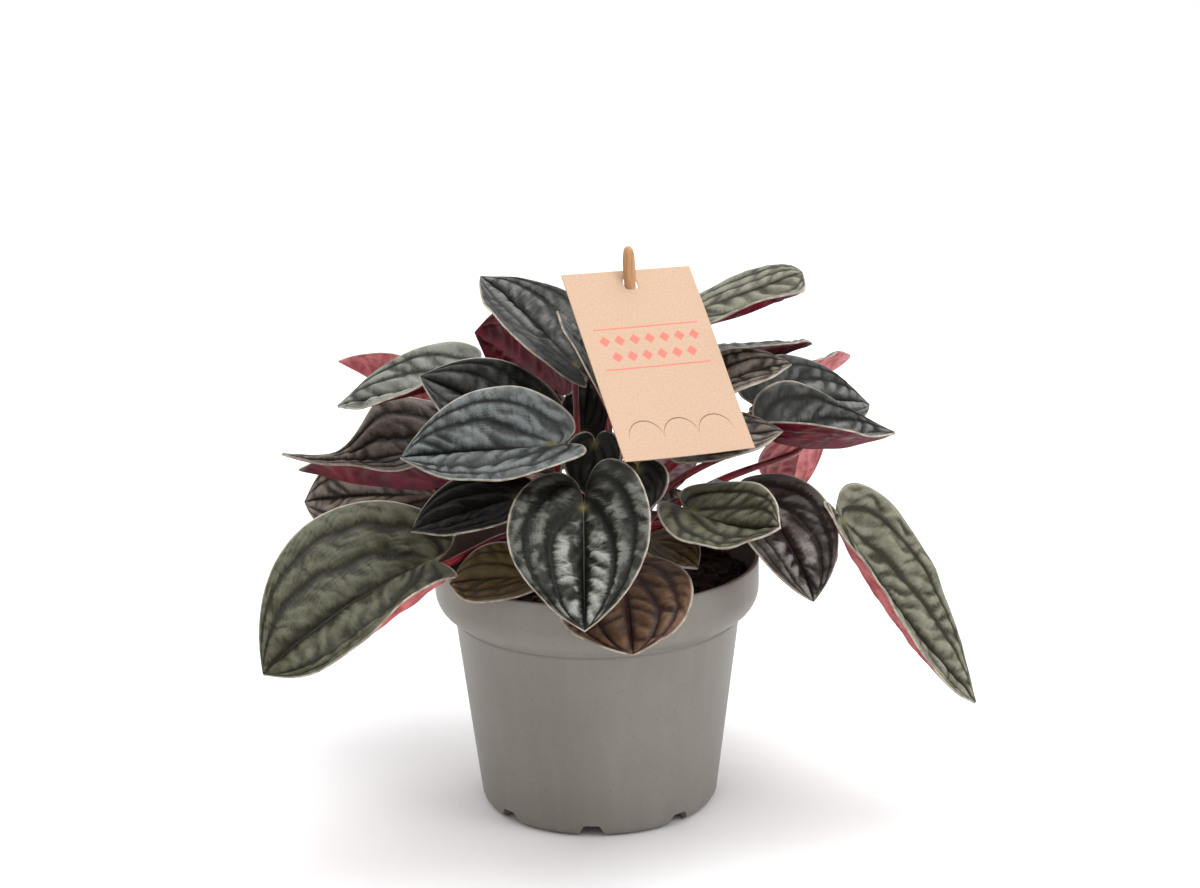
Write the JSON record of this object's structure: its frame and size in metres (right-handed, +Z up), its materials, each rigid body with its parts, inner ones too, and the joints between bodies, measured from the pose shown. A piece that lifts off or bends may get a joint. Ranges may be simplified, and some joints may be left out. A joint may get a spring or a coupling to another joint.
{
  "type": "potted peperomia",
  "caption": "Potted peperomia: ridged heart-shaped leaves on red stalks rise from soil in a tapered plastic nursery pot, with a blank card label on a wooden stick.",
  "frame": {"origin": "middle of the pot's underside, on the surface that the pot stands on", "axes": "+Z up; -Y is the front of the plant, the side that the label's card faces"},
  "size_m": [0.2537, 0.2107, 0.2107],
  "materials": {
    "pot": "satin",
    "soil": "rough",
    "crown": "satin",
    "leaf": "satin",
    "label_card": "matt",
    "label_stick": "matt"
  },
  "bodies": {
    "root": {"pot": "pot", "soil": "soil", "crown": "crown", "label_card": "label_card", "label_stick": "label_stick", "leaf_01": "leaf", "leaf_02": "leaf", "leaf_03": "leaf", "leaf_04": "leaf", "leaf_05": "leaf", "leaf_06": "leaf", "leaf_07": "leaf", "leaf_08": "leaf", "leaf_09": "leaf", "leaf_10": "leaf", "leaf_11": "leaf", "leaf_12": "leaf", "leaf_13": "leaf", "leaf_14": "leaf", "leaf_15": "leaf", "leaf_16": "leaf", "leaf_17": "leaf", "leaf_18": "leaf", "leaf_19": "leaf", "leaf_20": "leaf", "leaf_21": "leaf", "leaf_22": "leaf", "leaf_23": "leaf", "leaf_24": "leaf", "leaf_25": "leaf", "leaf_26": "leaf", "leaf_27": "leaf", "leaf_28": "leaf", "leaf_29": "leaf", "leaf_30": "leaf", "leaf_31": "leaf", "leaf_32": "leaf", "leaf_33": "leaf", "leaf_34": "leaf", "leaf_35": "leaf", "leaf_36": "leaf", "leaf_37": "leaf"}
  },
  "joints": []
}
